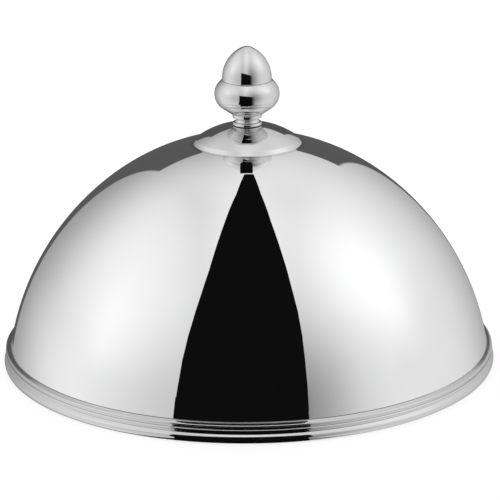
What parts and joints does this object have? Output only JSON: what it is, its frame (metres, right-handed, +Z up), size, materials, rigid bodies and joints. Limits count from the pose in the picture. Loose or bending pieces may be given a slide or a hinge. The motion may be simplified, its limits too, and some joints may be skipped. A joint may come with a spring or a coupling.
{
  "type": "buffet food cover dome",
  "caption": "Round polished steel food cover: a spun dome with a stepped rolled rim, a raised crown boss and an acorn knob that screws on from above.",
  "frame": {"origin": "centre of the circle that the rim stands on, at the level of the table", "axes": "+Z up along the dome's axis, towards the knob; X and Y lie in the table's plane"},
  "size_m": [0.3, 0.3, 0.1945],
  "materials": {
    "polished_steel": "mirror polished stainless steel",
    "wire_steel": "drawn wire",
    "fastener_steel": "plain stainless, lightly satin",
    "gasket_rubber": "matt black"
  },
  "bodies": {
    "dome": {"dome_shell": "polished_steel", "rim_wire": "wire_steel", "knob_screw": "fastener_steel", "lock_washer": "fastener_steel", "backing_washer": "fastener_steel", "inner_gasket": "gasket_rubber"},
    "foot": {"knob_foot": "polished_steel", "foot_gasket": "gasket_rubber"},
    "knob": {"knob_acorn": "polished_steel", "knob_cup": "polished_steel", "knob_stem": "polished_steel", "stem_nut": "fastener_steel"}
  },
  "joints": [
    {"name": "knob_rise", "type": "slide", "parent": "dome", "child": "foot", "axis": [0, 0, 1], "range_m": [0, 0.008]},
    {"name": "knob_turn", "type": "hinge", "parent": "foot", "child": "knob", "pos_m": [0, 0, 0.16], "axis": [0, 0, 1], "range_deg": [0, 2880]}
  ],
  "couplings": [
    {"joint": "knob_rise", "follows": "knob_turn", "m_per_rad": 0.00015915}
  ]
}
